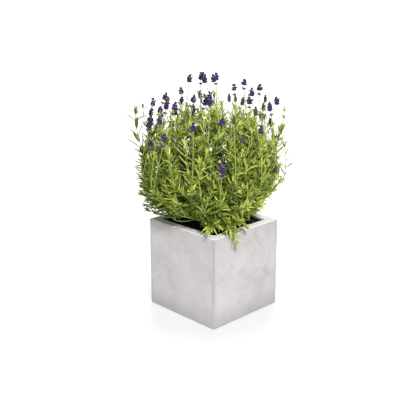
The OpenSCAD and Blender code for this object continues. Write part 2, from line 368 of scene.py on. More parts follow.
def stem_material():
    m, nt, p = material("green_stem", 0.55, 0.35)
    n = Nodes(nt)
    along, rnd, age_and_light, kind = n.life()
    woody = n.mix(n.ramp(n.noise(n.mapping(n.coords(), (1, 1, 0.25)), 500, 4), [(0.35, 0), (0.65, 1)]), (0.075, 0.052, 0.030), (0.210, 0.165, 0.105))
    green = n.mix(rnd, (0.190, 0.280, 0.045), (0.330, 0.420, 0.095))
    col = n.mix(n.ramp(along, [(0.05, 0), (0.42, 1)]), woody, green)
    ridge = n.noise(n.mapping(n.coords(), (1, 1, 0.2)), 900, 2)
    col = n.mix(n.math("MULTIPLY", n.ramp(ridge, [(0.4, 1), (0.6, 0)]), 0.3), col, (0.14, 0.18, 0.05))
    n.link(col, p.inputs["Base Color"])
    n.link(n.bump(ridge, 0.3, 0.0003), p.inputs["Normal"])
    return m


def flower_material():
    m, nt, p = material("lavender_calyx", 0.65, 0.16)
    n = Nodes(nt)
    along, rnd, bud, kind = n.life()
    deep = n.mix(rnd, (0.010, 0.004, 0.024), (0.036, 0.016, 0.070))
    foot = n.mix(rnd, (0.022, 0.022, 0.025), (0.042, 0.036, 0.052))
    col = n.mix(n.ramp(along, [(0.0, 0), (0.45, 1)]), foot, deep)
    col = n.mix(n.ramp(along, [(0.80, 0), (1.0, 0.55)]), col, (0.110, 0.052, 0.200))
    green = n.mix(rnd, (0.032, 0.037, 0.028), (0.066, 0.072, 0.056))
    col = n.mix(bud, col, green)
    c = n.coords()
    hair = n.noise(n.mapping(c, (1, 1, 1)), 1400, 3, 0.7)
    col = n.mix(n.math("MULTIPLY", n.ramp(hair, [(0.5, 0), (0.7, 1)]), 0.35), col, (0.080, 0.055, 0.110))
    n.link(col, p.inputs["Base Color"])
    p.inputs["Sheen Weight"].default_value = 0.08
    p.inputs["Sheen Roughness"].default_value = 0.45
    n.link(n.bump(hair, 0.25, 0.0003), p.inputs["Normal"])
    return m


def corolla_material():
    m, nt, p = material("lavender_corolla", 0.5, 0.3)
    n = Nodes(nt)
    along, rnd, bud, kind = n.life()
    col = n.mix(rnd, (0.075, 0.032, 0.190), (0.165, 0.082, 0.330))
    col = n.mix(n.ramp(along, [(0.0, 1), (0.4, 0)]), col, (0.17, 0.12, 0.27))
    n.link(col, p.inputs["Base Color"])
    n.link(n.bump(n.noise(n.coords(), 1800, 2), 0.2, 0.0002), p.inputs["Normal"])
    return m


def soil_material():
    m, nt, p = material("potting_soil", 0.93, 0.12)
    n = Nodes(nt)
    along, rnd, age_and_light, kind = n.life()
    c = n.coords()
    g = n.noise(c, 320, 6, 0.7)
    col = n.ramp(g, [(0.30, (0.006, 0.004, 0.003)), (0.52, (0.017, 0.011, 0.007)), (0.75, (0.050, 0.032, 0.020))])
    col = n.mix(n.math("MULTIPLY", n.ramp(rnd, [(0.72, 0), (0.95, 1)]), 0.6), col, (0.085, 0.050, 0.028))
    n.link(col, p.inputs["Base Color"])
    h = n.math("ADD", g, n.math("MULTIPLY", n.voronoi(c, 700), 0.5))
    n.link(n.bump(h, 0.9, 0.0012), p.inputs["Normal"])
    return m


def plastic_material():
    m, nt, p = material("liner_plastic", 0.42, 0.4)
    n = Nodes(nt)
    c = n.coords()
    scuff = n.noise(n.mapping(c, (40, 40, 300)), 1.0, 4, 0.6)
    dust = n.noise(c, 55, 5, 0.65)
    col = n.ramp(dust, [(0.45, (0.011, 0.011, 0.012)), (0.72, (0.045, 0.042, 0.038))])
    n.link(col, p.inputs["Base Color"])
    n.link(n.ramp(scuff, [(0.35, 0.34), (0.7, 0.60)]), p.inputs["Roughness"])
    n.link(n.bump(n.noise(c, 1600, 2), 0.10, 0.0002), p.inputs["Normal"])
    return m


def rubber_material():
    m, nt, p = material("rubber_pad", 0.8, 0.25)
    n = Nodes(nt)
    c = n.coords()
    g = n.noise(c, 900, 4, 0.7)
    col = n.ramp(g, [(0.35, (0.018, 0.018, 0.019)), (0.75, (0.050, 0.049, 0.048))])
    n.link(col, p.inputs["Base Color"])
    n.link(n.bump(g, 0.4, 0.0003), p.inputs["Normal"])
    return m


def clay_material():
    m, nt, p = material("fired_clay", 0.88, 0.2)
    n = Nodes(nt)
    c = n.coords()
    g = n.noise(c, 120, 6, 0.7)
    pores = n.voronoi(c, 600)
    col = n.ramp(g, [(0.3, (0.14, 0.045, 0.020)), (0.55, (0.30, 0.110, 0.050)), (0.8, (0.42, 0.200, 0.110))])
    col = n.mix(n.ramp(pores, [(0.10, 0.7), (0.22, 0.0)]), col, (0.07, 0.03, 0.018))
    n.link(col, p.inputs["Base Color"])
    n.link(n.bump(n.math("ADD", g, pores), 0.9, 0.0010), p.inputs["Normal"])
    return m


def fleece_material():
    m, nt, p = material("filter_fleece", 0.95, 0.1)
    n = Nodes(nt)
    c = n.coords()
    f1 = n.noise(n.mapping(c, (300, 40, 40), turn=(0, 0, 0.6)), 1.0, 5, 0.7)
    f2 = n.noise(n.mapping(c, (40, 300, 40), turn=(0, 0, -0.4)), 1.0, 5, 0.7)
    f = n.math("ADD", f1, f2)
    col = n.ramp(f, [(0.6, (0.45, 0.44, 0.40)), (1.0, (0.70, 0.69, 0.64))])
    n.link(col, p.inputs["Base Color"])
    p.inputs["Sheen Weight"].default_value = 0.4
    n.link(n.bump(f, 0.6, 0.0006), p.inputs["Normal"])
    return m


def root_material():
    m, nt, p = material("root_ball", 0.9, 0.15)
    n = Nodes(nt)
    c = n.coords()
    web = n.voronoi(n.mapping(c, (1, 1, 0.45)), 210, "DISTANCE_TO_EDGE")
    g = n.noise(c, 180, 6, 0.7)
    col = n.ramp(g, [(0.3, (0.020, 0.012, 0.008)), (0.7, (0.080, 0.050, 0.028))])
    col = n.mix(n.ramp(web, [(0.03, 1.0), (0.09, 0.0)]), col, (0.42, 0.31, 0.18))
    n.link(col, p.inputs["Base Color"])
    n.link(n.bump(n.math("SUBTRACT", g, web), 0.8, 0.0012), p.inputs["Normal"])
    return m


def bark_material():
    m, nt, p = material("woody_bark", 0.85, 0.2)
    n = Nodes(nt)
    c = n.coords()
    g = n.noise(n.mapping(c, (1, 1, 0.3)), 260, 6, 0.7, 0.5)
    col = n.ramp(g, [(0.32, (0.050, 0.034, 0.022)), (0.52, (0.150, 0.110, 0.072)), (0.75, (0.280, 0.230, 0.170))])
    n.link(col, p.inputs["Base Color"])
    n.link(n.bump(g, 0.9, 0.0012), p.inputs["Normal"])
    return m


CONCRETE, LEAF, STEM, FLOWER, COROLLA = concrete_material(), leaf_material(), stem_material(), flower_material(), corolla_material()
SOIL, PLASTIC, RUBBER, CLAY, FLEECE, ROOTS, BARK = (
    soil_material(), plastic_material(), rubber_material(), clay_material(), fleece_material(), root_material(), bark_material())


def finish_piece(ob, body, slot, *nodes):
    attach(ob, body)
    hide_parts(*nodes)
    return ob


# ---------------------------------------------------------------- sizes from the frame
blo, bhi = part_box("concrete_box")
SIDE = (bhi[0] - blo[0]) / MM
TOP = bhi[2] / MM
LOW = blo[2] / MM
FOOT_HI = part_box("foot_front_left")[1][2] / MM
slo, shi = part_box("potting_soil")
SOIL_TOP = shi[2] / MM
SOIL_LOW = slo[2] / MM
llo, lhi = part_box("liner")
LINER_LOW, LINER_TOP = llo[2] / MM, lhi[2] / MM
MOUTH, CAVITY_LOW, FLOOR_Z = SIDE - 40, SIDE - 46, LOW + 20


def cavity_w(z):
    return CAVITY_LOW + (MOUTH - CAVITY_LOW) * (z - FLOOR_Z) / (TOP - FLOOR_Z)


def square_ring(h, r, n_side, n_corner, circle=0.0):
    """Points round a square of half-width h with corners of radius r, the same count for every h and r; circle=1 makes it a circle of radius h."""
    out = []
    for k in range(4):
        c0, s0 = round(math.cos(k * math.pi / 2)), round(math.sin(k * math.pi / 2))
        for i in range(n_side):
            x = -(h - r) + 2 * (h - r) * i / n_side
            px, py = x, -h
            out.append((px * c0 - py * s0, px * s0 + py * c0))
        for i in range(n_corner):
            a = -math.pi / 2 + math.pi / 2 * i / n_corner
            px, py = (h - r) + r * math.cos(a), -(h - r) + r * math.sin(a)
            out.append((px * c0 - py * s0, px * s0 + py * c0))
    out = np.array(out)
    if circle:
        ref = out if h > 20 else square_ring(60.0, 4.0, n_side, n_corner)
        away = ref / np.linalg.norm(ref, axis=1)[:, None]
        out = out * (1 - circle) + away * h * circle if circle < 1 else away * h
    return out


def lathe_square(b, profile, n_side, n_corner, wobble=None, close=True, attr=(0, 0, 0, 0)):
    """Rings of a rounded square swept through (half-width, corner radius, z) steps; close joins the last ring to the first."""
    rings = []
    for h, r, z, *circle in profile:
        p = square_ring(h, r, n_side, n_corner, circle[0] if circle else 0.0)
        rings.append(np.c_[p, np.full(len(p), z)])
    n, m = len(rings[0]), len(rings)
    v = np.concatenate(rings)
    if wobble is not None:
        v = wobble(v)
    rows = range(m) if close else range(m - 1)
    quads = [[i * n + j, i * n + (j + 1) % n, ((i + 1) % m) * n + (j + 1) % n, ((i + 1) % m) * n + j] for i in rows for j in range(n)]
    b.add(v, quads, (), attr)
    return n, m


def arc(cx, cz, rad, a0, a1, n, corner):
    """Profile steps along a quarter bend."""
    return [(cx + rad * math.cos(a), corner(cx + rad * math.cos(a)), cz + rad * math.sin(a)) for a in np.linspace(a0, a1, n)]


# ---------------------------------------------------------------- the concrete box
def perlin3(v, scale, seed):
    off = Vector((seed * 7.3, seed * 3.1, seed * 5.7))
    return np.array([noise.noise(Vector(p) * scale + off) for p in v])


def make_concrete():
    H = SIDE / 2
    M = MOUTH / 2
    er, ir, br = 2.0, 1.4, 1.8
    cr = lambda h: 2.6 if h > H - 1 else 3.0
    prof = []
    # drain hole's wall and the underside, as a square that turns into the outer edge
    prof += [(11.0, 1.0, FLOOR_Z - 1.0, 1.0), (11.0, 1.0, FLOOR_Z - 7, 1.0), (11.0, 1.0, LOW + 7, 1.0), (11.0, 1.0, LOW + 1.0, 1.0), (11.3, 1.0, LOW + 0.3, 1.0), (12.0, 1.0, LOW, 1.0)]
    prof += [(h, 4.0, LOW, 1.0 - smooth(24, 60, h)) for h in np.linspace(15, H - br, 26)]
    prof += arc(H - br, LOW + br, br, -math.pi / 2, 0, 5, lambda h: 2.6)[1:]
    prof += [(H, 2.6, z) for z in np.linspace(LOW + br, TOP - er, 76)[1:]]
    prof += arc(H - er, TOP - er, er, 0, math.pi / 2, 6, lambda h: 2.6)[1:]
    prof += [(h, 2.6 + (H - h) * 0.12, TOP) for h in np.linspace(H - er, M + ir, 8)[1:]]
    prof += arc(M + ir, TOP - ir, ir, math.pi / 2, math.pi, 5, lambda h: 5.0)[1:]
    prof += [(cavity_w(z) / 2, 5.0, z) for z in np.linspace(TOP - ir, FLOOR_Z + 3, 44)[1:]]
    prof += [(cavity_w(FLOOR_Z) / 2 - 0.9, 5.0, FLOOR_Z + 0.9), (cavity_w(FLOOR_Z) / 2 - 3, 5.0, FLOOR_Z)]
    prof += [(h, 5.0, FLOOR_Z, 1.0 - smooth(24, 56, h)) for h in np.linspace(cavity_w(FLOOR_Z) / 2 - 8, 15, 18)]
    prof += [(12.0, 1.0, FLOOR_Z, 1.0), (11.3, 1.0, FLOOR_Z - 0.3, 1.0)]

    def wobble(v):
        s = v * 0.01
        big = perlin3(s, 1.6, 1) * 0.35 + perlin3(s, 5.0, 2) * 0.16
        fine = perlin3(s, 22.0, 3) * 0.07
        h = np.maximum(np.abs(v[:, 0]), np.abs(v[:, 1]))
        out = v.copy()
        side = (h > H - 2.2)
        inner = (h < M + 1.5) & (v[:, 2] > FLOOR_Z + 4)
        d = v[:, :2] / np.maximum(h, 1)[:, None]
        # walls move in and out; the rim moves up and down; nothing grows past the cast size
        push = np.minimum(big + fine - 0.35, 0.0)
        out[side, 0] += d[side, 0] * push[side]
        out[side, 1] += d[side, 1] * push[side]
        out[inner, 0] += d[inner, 0] * (big + fine)[inner] * 0.7
        out[inner, 1] += d[inner, 1] * (big + fine)[inner] * 0.7
        top = v[:, 2] > TOP - 2.5
        out[top, 2] += np.minimum(big[top] * 0.9 + fine[top] * 2.2 - 0.25, 0.0)
        # small chips where the rim and the upright edges have been knocked
        near = (h > H - 3.2) & (v[:, 2] > TOP - 3.2)
        chip = np.maximum(perlin3(s, 9.0, 5) - 0.34, 0) * 4.5
        out[near, 2] -= chip[near]
        out[near, 0] -= d[near, 0] * chip[near] * 0.8
        out[near, 1] -= d[near, 1] * chip[near] * 0.8
        corner = (np.minimum(np.abs(v[:, 0]), np.abs(v[:, 1])) > H - 3.0)
        wear = np.maximum(perlin3(s, 7.0, 6), 0) * 0.9
        out[corner, 0] -= np.sign(v[corner, 0]) * wear[corner]
        out[corner, 1] -= np.sign(v[corner, 1]) * wear[corner]
        return out

    b = Build()
    lathe_square(b, prof, 62, 6, wobble)
    ob = b.make("concrete_box_cast", CONCRETE)
    # pockets for the four pads
    cut = Build()
    for x in (-1, 1):
        for y in (-1, 1):
            ring = [(math.cos(a) * 12.25 + x * 72, math.sin(a) * 12.25 + y * 72) for a in np.arange(48) * 2 * math.pi / 48]
            lo = [(px, py, LOW - 2) for px, py in ring]
            hi = [(px, py, FOOT_HI + 0.02) for px, py in ring]
            n = 48
            v = np.array(lo + hi + [(x * 72, y * 72, LOW - 2), (x * 72, y * 72, FOOT_HI + 0.02)])
            q = [[j, (j + 1) % n, n + (j + 1) % n, n + j] for j in range(n)]
            t = [[2 * n, (j + 1) % n, j] for j in range(n)] + [[2 * n + 1, n + j, n + (j + 1) % n] for j in range(n)]
            cut.add(v, q, t)
    tool = cut.make("pocket_tool", CONCRETE)
    mod = ob.modifiers.new("pockets", "BOOLEAN")
    mod.object = tool
    mod.operation = "DIFFERENCE"
    mod.solver = "EXACT"
    apply_modifiers(ob)
    bpy.data.objects.remove(tool, do_unlink=True)
    finish_piece(ob, "planter", "concrete", "concrete_box")
    return ob


def apply_modifiers(ob):
    dg = bpy.context.evaluated_depsgraph_get()
    dg.update()
    me = bpy.data.meshes.new_from_object(ob.evaluated_get(dg), preserve_all_data_layers=True, depsgraph=dg)
    old = ob.data
    ob.modifiers.clear()
    ob.data = me
    bpy.data.meshes.remove(old)
    me.name = ob.name


def make_feet():
    for name in ("foot_front_left", "foot_front_right", "foot_rear_left", "foot_rear_right"):
        lo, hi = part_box(name)
        cx, cy = (lo[0] + hi[0]) / 2 / MM, (lo[1] + hi[1]) / 2 / MM
        r = (hi[0] - lo[0]) / 2 / MM
        z1 = hi[2] / MM
        prof = [(2.0, 0.0), (r - 7.2, 0.0), (r - 6.7, 0.35), (r - 5.7, 0.35), (r - 5.2, 0.0), (r - 3.9, 0.0), (r - 3.4, 0.35),
                (r - 2.4, 0.35), (r - 1.9, 0.0), (r - 1.0, 0.0), (r - 0.35, 0.2), (r - 0.05, 0.6), (r, 1.0), (r, z1 - 0.2), (r - 0.2, z1), (2.0, z1)]
        n = 64
        v = [(cx + pr * math.cos(a), cy + pr * math.sin(a), pz) for pr, pz in prof for a in np.arange(n) * 2 * math.pi / n]
        v += [(cx, cy, 0.0), (cx, cy, z1)]
        m = len(prof)
        q = [[i * n + j, i * n + (j + 1) % n, (i + 1) * n + (j + 1) % n, (i + 1) * n + j] for i in range(m - 1) for j in range(n)]
        t = [[m * n, (j + 1) % n, j] for j in range(n)] + [[m * n + 1, (m - 1) * n + j, (m - 1) * n + (j + 1) % n] for j in range(n)]
        b = Build()
        b.add(v, q, t)
        finish_piece(b.make(name + "_pad", RUBBER), "planter", "rubber_pad", name)


# ---------------------------------------------------------------- liner and filling
def skin_w(z):
    return cavity_w(z) - 2 * 2.6


def make_liner():
    z0 = LINER_LOW + 5.0
    zt = LINER_TOP
    o = lambda z: skin_w(z) / 2
    prof = [(3.0, 1, z0, 1.0), (o(z0) - 12, 8, z0), (o(z0) - 5, 9, z0 + 0.2), (o(z0) - 1.2, 9, z0 + 1.6), (o(z0 + 4), 9, z0 + 4)]
    prof += [(o(z), 9, z) for z in np.linspace(z0 + 4, zt - 3.4, 22)[1:]]
    prof += [(o(zt) + 0.9, 9.4, zt - 3.0), (o(zt) + 1.1, 9.5, zt - 2.2), (o(zt) + 1.1, 9.5, zt - 0.9), (o(zt) + 0.6, 9.3, zt - 0.2),
             (o(zt) - 0.2, 9, zt), (o(zt) - 0.9, 8.6, zt - 0.1), (o(zt) - 1.5, 8.3, zt - 0.7)]
    prof += [(o(z) - 1.5, 7.8, z) for z in np.linspace(zt - 3, z0 + 6, 20)]
    prof += [(o(z0) - 3.4, 7.5, z0 + 2.3), (o(z0) - 6, 7, z0 + 2.0), (3.0, 1, z0 + 2.0, 1.0)]
    b = Build()
    n, m = lathe_square(b, prof, 20, 8, close=False)
    # close the middle of the floor, above and below
    for row, z, flip in ((0, z0, False), (m - 1, z0 + 2.0, True)):
        c = b.n
        b.add([(0, 0, z)])
        tris = [[c, row * n + (j + 1) % n, row * n + j] if not flip else [c, row * n + j, row * n + (j + 1) % n] for j in range(n)]
        b.t.append(np.array(tris))
    ob = b.make("liner_pot", PLASTIC)
    tools = []
    cut = Build()
    for x in (-26, 0, 26):
        for y in (-44, 0, 44):
            k = 24
            v = [(x + 4.5 * math.cos(a), y + 4.5 * math.sin(a), z) for z in (z0 - 3, z0 + 5) for a in np.arange(k) * 2 * math.pi / k]
            v += [(x, y, z0 - 3), (x, y, z0 + 5)]
            q = [[j, (j + 1) % k, k + (j + 1) % k, k + j] for j in range(k)]
            t = [[2 * k, (j + 1) % k, j] for j in range(k)] + [[2 * k + 1, k + j, k + (j + 1) % k] for j in range(k)]
            cut.add(v, q, t)
    tool = cut.make("liner_holes", PLASTIC)
    mod = ob.modifiers.new("holes", "BOOLEAN")
    mod.object, mod.operation, mod.solver = tool, "DIFFERENCE", "EXACT"
    run = Build()
    for x in (-44, 44):
        pr = [(-4, 0.8), (-3.2, 0), (3.2, 0), (4, 0.8), (4, 5.4), (-4, 5.4)]
        k = len(pr)
        ys = [-60, -58.5, 58.5, 60]
        v = []
        for iy, y in enumerate(ys):
            for px, pz in pr:
                lift = 1.2 if iy in (0, 3) and pz < 1 else 0
                v.append((x + px, y, LINER_LOW + pz + lift))
        q = [[i * k + j, (i + 1) * k + j, (i + 1) * k + (j + 1) % k, i * k + (j + 1) % k] for i in range(3) for j in range(k)]
        t = [[0, j, j + 1] for j in range(1, k - 1)] + [[3 * k, 3 * k + j + 1, 3 * k + j] for j in range(1, k - 1)]
        run.add(v, q, t)
    runners = run.make("liner_runners", PLASTIC, False)
    mod = ob.modifiers.new("runners", "BOOLEAN")
    mod.object, mod.operation, mod.solver = runners, "UNION", "EXACT"
    apply_modifiers(ob)
    bpy.data.objects.remove(tool, do_unlink=True)
    bpy.data.objects.remove(runners, do_unlink=True)
    for p in ob.data.polygons:
        p.use_smooth = True
    ob.data.set_sharp_from_angle(angle=math.radians(40))
    finish_piece(ob, "planting", "liner_plastic", "liner")


def make_soil(rng):
    w = lambda z: skin_w(z) / 2 - 1.75
    prof = [(w(SOIL_LOW), 6, SOIL_LOW)] + [(w(z), 6, z) for z in np.linspace(SOIL_LOW + 8, SOIL_TOP - 1.5, 10)]
    tops = np.linspace(w(SOIL_TOP) - 0.6, 0.9, 62)
    prof += [(h, min(6, h * 0.9), SOIL_TOP - 0.4) for h in tops]

    def wobble(v):
        out = v.copy()
        top = v[:, 2] > SOIL_TOP - 1
        s = v * 0.01
        up = perlin3(s, 3.5, 11) * 1.6 + perlin3(s, 14, 12) * 1.5 + perlin3(s, 38, 13) * 0.9
        h = np.maximum(np.abs(v[:, 0]), np.abs(v[:, 1]))
        edge = smooth(w(SOIL_TOP) + 1, w(SOIL_TOP) - 14, h)
        out[top, 2] += (up * 0.8 + edge * 0.9 - 0.6)[top]
        return out

    b = Build()
    n, m = lathe_square(b, prof, 30, 5, wobble, close=False, attr=(0, 0.2, 0, 0))
    for row, z, flip in ((0, SOIL_LOW, False), (m - 1, SOIL_TOP, True)):
        c = b.n
        b.add([(0, 0, z)])
        b.t.append(np.array([[c, row * n + (j + 1) % n, row * n + j] if not flip else [c, row * n + j, row * n + (j + 1) % n] for j in range(n)]))
    # crumbs, bits of bark and fibre
    ico = bmesh.new()
    bmesh.ops.create_icosphere(ico, subdivisions=1, radius=1)
    iv = np.array([v.co[:] for v in ico.verts])
    it = np.array([[v.index for v in f.verts] for f in ico.faces])
    ico.free()
    lim = w(SOIL_TOP) - 2.0
    for k in range(1500):
        x, y = rng.uniform(-lim, lim, 2)
        r = 0.5 + 1.7 * rng.random() ** 2.6
        sh = iv * (1 + 0.35 * rng.standard_normal((len(iv), 1)).clip(-1, 1)) * r * rng.uniform(0.55, 1.25, 3)
        if math.hypot(x, y) < 26 and rng.random() < 0.6:
            continue
        z = SOIL_TOP - 0.3 + rng.uniform(-0.3, 0.9)
        b.add(sh + [x, y, z], (), it, (0, rng.random(), 0, 0))
    for k in range(90):
        x, y = rng.uniform(-lim + 4, lim - 4, 2)
        a = rng.uniform(0, 6.28)
        L = rng.uniform(4, 11)
        d = np.array([math.cos(a), math.sin(a), rng.uniform(-0.05, 0.18)])
        p0 = np.array([x, y, SOIL_TOP + 0.8])
        bend = rng.uniform(-1.5, 1.5, 3) * [1, 1, 0.3]
        tube(b, [p0, p0 + d * L * 0.5 + bend, p0 + d * L], [0.22, 0.3, 0.15], 4, (0, rng.uniform(0.85, 1.0), 0, 0))
    finish_piece(b.make("soil_bed", SOIL), "planting", "soil", "potting_soil")


def dress_fleece():
    """The fleece keeps the frame's own shape and only gets its finish."""
    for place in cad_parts["filter_fleece"].material_slots:
        place.material = FLEECE


def make_pebbles(rng):
    """Every ball is where the frame has it, lumpy and slightly flattened."""
    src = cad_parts["clay_pebbles"].data
    co = np.array([v.co[:] for v in src.vertices]) / MM
    # group the frame's vertices into balls by following shared triangles
    parent = list(range(len(co)))

    def find(a):
        while parent[a] != a:
            parent[a] = parent[parent[a]]
            a = parent[a]
        return a
    key = {}
    for i, p in enumerate(co):
        k = tuple(np.round(p, 3))
        if k in key:
            parent[find(i)] = find(key[k])
        else:
            key[k] = i
    for poly in src.polygons:
        vs = list(poly.vertices)
        for a in vs[1:]:
            parent[find(a)] = find(vs[0])
    groups = {}
    for i in range(len(co)):
        groups.setdefault(find(i), []).append(i)
    ico = bmesh.new()
    bmesh.ops.create_icosphere(ico, subdivisions=3, radius=1)
    iv = np.array([v.co[:] for v in ico.verts])
    it = np.array([[v.index for v in f.verts] for f in ico.faces])
    ico.free()
    b = Build()
    for g in groups.values():
        p = co[g]
        c, r = (p.min(0) + p.max(0)) / 2, (p.max(0) - p.min(0)).max() / 2
        seed = rng.uniform(0, 50, 3)
        lump = np.array([noise.noise(Vector(q * 1.6 + seed)) for q in iv]) * 0.10 + np.array([noise.noise(Vector(q * 5 + seed)) for q in iv]) * 0.04
        squash = rng.uniform(0.86, 0.99, 3)
        b.add(c + iv * squash * (r * (0.93 + lump))[:, None], (), it, (0, rng.random(), 0, 0))
    finish_piece(b.make("clay_balls", CLAY), "planting", "fired_clay", "clay_pebbles")


def make_root_ball(rng):
    lo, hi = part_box("root_ball")
    z0, z1 = lo[2] / MM, hi[2] / MM
    r1 = (hi[0] - lo[0]) / 2 / MM
    r0 = r1 - 11
    n, rows = 96, 40
    v, q = [], []
    zs = np.linspace(z0, z1, rows)
    for z in zs:
        r = r0 + (r1 - r0) * (z - z0) / (z1 - z0) - 1.6
        for a in np.arange(n) * 2 * math.pi / n:
            p = Vector((math.cos(a) * r * 0.05, math.sin(a) * r * 0.05, z * 0.05))
            k = r + noise.noise(p * 1.5) * 0.9 + noise.noise(p * 6) * 0.6
            v.append((k * math.cos(a), k * math.sin(a), z))
    q = [[i * n + j, i * n + (j + 1) % n, (i + 1) * n + (j + 1) % n, (i + 1) * n + j] for i in range(rows - 1) for j in range(n)]
    v += [(0, 0, z0), (0, 0, z1)]
    t = [[rows * n, (j + 1) % n, j] for j in range(n)] + [[rows * n + 1, (rows - 1) * n + j, (rows - 1) * n + (j + 1) % n] for j in range(n)]
    b = Build()
    b.add(v, q, t)
    for k in range(150):
        a = rng.uniform(0, 6.28)
        z = rng.uniform(z0 + 6, z1 - 3)
        pts = []
        turn, fall = rng.uniform(-0.05, 0.05), rng.uniform(-3.2, -0.6)
        for s in range(12):
            if z < z0 + 2:
                break
            r = r0 + (r1 - r0) * (z - z0) / (z1 - z0) - 1.3
            pts.append((r * math.cos(a), r * math.sin(a), z))
            a += turn + rng.uniform(-0.03, 0.03)
            z += fall
        if len(pts) > 3:
            tube(b, pts, np.linspace(0.5, 0.25, len(pts)), 5, (0, rng.random(), 0, 0))
    finish_piece(b.make("root_mass", ROOTS), "planting", "roots", "root_ball")


# ---------------------------------------------------------------- the lavender, on the same rule as the frame
SHOOTS = 50
CROWN_R, LONG, SPREAD = 34.0, 240.0, 75.0
CROWN_TOP = 10.0
LEAN = np.array([-12.0, -12.0, 0.0])
FLOWER_TOP = 507.0


def wave(i):
    return frac(i * 0.7549 + 0.78)


def wave2(i):
    return frac(i * 0.5698 + 0.46)


def share(i):
    return (i + 0.5) / SHOOTS


def turn_of(i):
    return math.radians(137.508 * i + 102 + 9 * (wave(i) - 0.5))


def tilt_of(i):
    return math.radians(math.degrees(math.acos(1 - share(i) * (1 - math.cos(math.radians(SPREAD))))) + 6 * (wave2(i) - 0.5))


def reach_of(i):
    return LONG * (1 - 0.265 * (max(math.degrees(tilt_of(i)), 0) / 47) ** 1.35) * (0.93 + 0.14 * wave(i + 40))


def root_at(i):
    r, a = (CROWN_R - 1) * math.sqrt(share(i)), turn_of(i)
    return np.array([r * math.cos(a), r * math.sin(a), SOIL_TOP + CROWN_TOP - 2 - 4 * share(i)])


def tip_at(i):
    a, t, L = turn_of(i), tilt_of(i), reach_of(i)
    return root_at(i) + L * np.array([math.sin(t) * math.cos(a), math.sin(t) * math.sin(a), math.cos(t)]) + LEAN * L * math.cos(t) / LONG


def arched_tip(i):
    t = tip_at(i)
    low = smooth(56, 72, math.degrees(tilt_of(i)))
    draw_in = 0.04 + 0.16 * low * smooth(60, 120, (t[0] + t[1]) * 0.7071)
    return t + np.array([-draw_in * t[0], -draw_in * t[1], 26.0 * low])


def side_way(i):
    a = turn_of(i) + math.radians(60 + 60 * wave(i + 9))
    return np.array([math.cos(a), math.sin(a), 0.0])


def head_list():
    out = []
    for i in range(SHOOTS):
        if share(i) < 0.65:
            for k in (0, 1):
                if k == 0 or i % 2 == 0:
                    t = tip_at(i)
                    r2 = t[0] ** 2 + t[1] ** 2
                    z = max(FLOWER_TOP - 0.0023 * r2 - 39 * wave2(i + 7 * k) - 39 * k, t[2] + 34 + 12 * wave(i + k))
                    h = 0.88 * np.array([t[0], t[1], 0]) + 20 * side_way(i) * k + [0, 0, z]
                    out.append((i, t + side_way(i) * (1.5 * (2 * k - 1) if i % 2 == 0 else 0), h))
    for i in range(SHOOTS):
        if 0.65 <= share(i) < 0.9 and i % 3 == 0:
            t = tip_at(i)
            out.append((i, t, t + [0.12 * t[0], 0.12 * t[1], 42 + 20 * wave(i)]))
    return out


SECTORS = ["right", "rear_right", "rear", "rear_left", "left", "front_left", "front", "front_right"]


def sector_of(i):
    if share(i) < 0.16:
        return "centre"
    return SECTORS[int(math.floor(frac((math.degrees(turn_of(i)) + 22.5) / 360) * 8))]


LEAF_T = np.array([0.10, 0.36, 0.68, 0.90])
LEAF_W = np.array([0.52, 0.96, 0.92, 0.50])
LEAF_Q = [[r * 4 + j, r * 4 + (j + 1) % 4, (r + 1) * 4 + (j + 1) % 4, (r + 1) * 4 + j] for r in range(3) for j in range(4)]
LEAF_TRI = [[16, (j + 1) % 4, j] for j in range(4)] + [[17, 12 + j, 12 + (j + 1) % 4] for j in range(4)]


def in_concrete(p, pad=0.8):
    x, y = abs(p[0]), abs(p[1])
    if max(x, y) > SIDE / 2 + pad or p[2] > TOP + pad:
        return False
    return max(x, y) > cavity_w(max(p[2], FLOOR_Z)) / 2 - 3.0 or p[2] < SOIL_TOP + 0.8


LIM = np.array([[min(cad_lo[0], -0.15) - 0.010, min(cad_lo[1], -0.15) - 0.010, 0], [cad_hi[0] + 0.010, cad_hi[1] + 0.010, cad_hi[2] + 0.004]]) / MM


RIM_FREE = {"on": False}


def too_low(end):
    """Leaves stay a little above the rim, and inside the fuller-on-the-left outline low on the right."""
    if RIM_FREE["on"]:
        return False
    r = math.hypot(end[0], end[1])
    toward_front = max(0.0, (0.76 * end[0] - 0.65 * end[1]) / max(r, 1.0))
    soft = 1.0 - 0.75 * smooth(0.90, 0.985, toward_front)
    if r < 82:
        low = SOIL_TOP + 2 + 0.48 * max(r - 24, 0) * soft
    else:
        low = TOP + 22 * soft + 0.10 * (r - 82)
    if end[2] < low:
        return True
    # a strip of soil stays open inside the rim on the front-left side
    across = end[0] * 0.698 + end[1] * 0.716
    if -128 < across < -4 and (end[0] - end[1]) > 30:
        lift = -0.1971 * end[0] - 0.1922 * -end[1] + 0.9614 * end[2]
        edge = 192.7 - (across + 113.1) * 0.283
        if lift < edge + 9 + 19 * smooth(-112, -72, across) - 22 * smooth(-46, -14, across):
            return True
    right = (end[0] + end[1]) * 0.7071
    return end[2] < 295 and right > 118 + 38 * smooth(240, 295, end[2])


